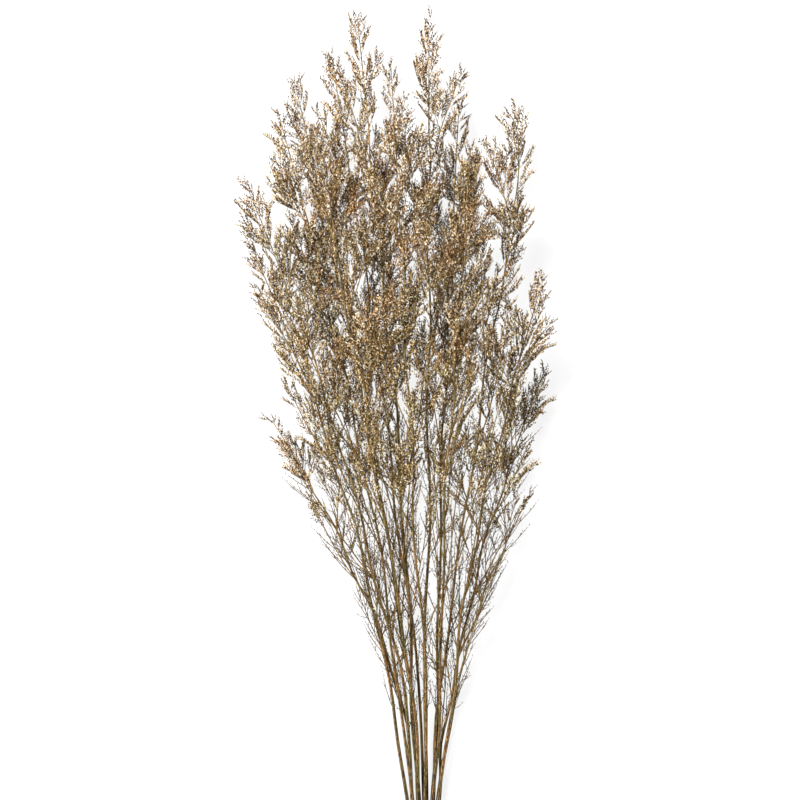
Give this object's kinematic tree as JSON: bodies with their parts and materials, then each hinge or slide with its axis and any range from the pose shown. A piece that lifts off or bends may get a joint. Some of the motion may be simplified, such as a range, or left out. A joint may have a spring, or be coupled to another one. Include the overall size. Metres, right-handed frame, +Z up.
{
  "type": "dried statice bunch",
  "caption": "Lying bunch of long, fine dried statice stems with feathery heads of tiny papery florets, held near the cut ends by a twine tie.",
  "frame": {"origin": "on the surface the bunch lies on, under the middle of its bounding box", "axes": "+Y along the bunch from the cut ends to the tips, +X to the right seen from above, +Z up from the surface"},
  "size_m": [0.309, 0.8781, 0.1305],
  "materials": {
    "dried_stem": "matte, dry",
    "twine": "matte, hairy"
  },
  "bodies": {
    "root": {"stem_01": "dried_stem", "stem_02": "dried_stem", "stem_03": "dried_stem", "stem_04": "dried_stem", "stem_05": "dried_stem", "stem_06": "dried_stem", "stem_07": "dried_stem", "stem_08": "dried_stem", "stem_09": "dried_stem", "stem_10": "dried_stem", "stem_11": "dried_stem", "stem_12": "dried_stem", "stem_13": "dried_stem", "stem_14": "dried_stem", "stem_15": "dried_stem", "stem_16": "dried_stem", "twine_tie": "twine"}
  },
  "joints": []
}
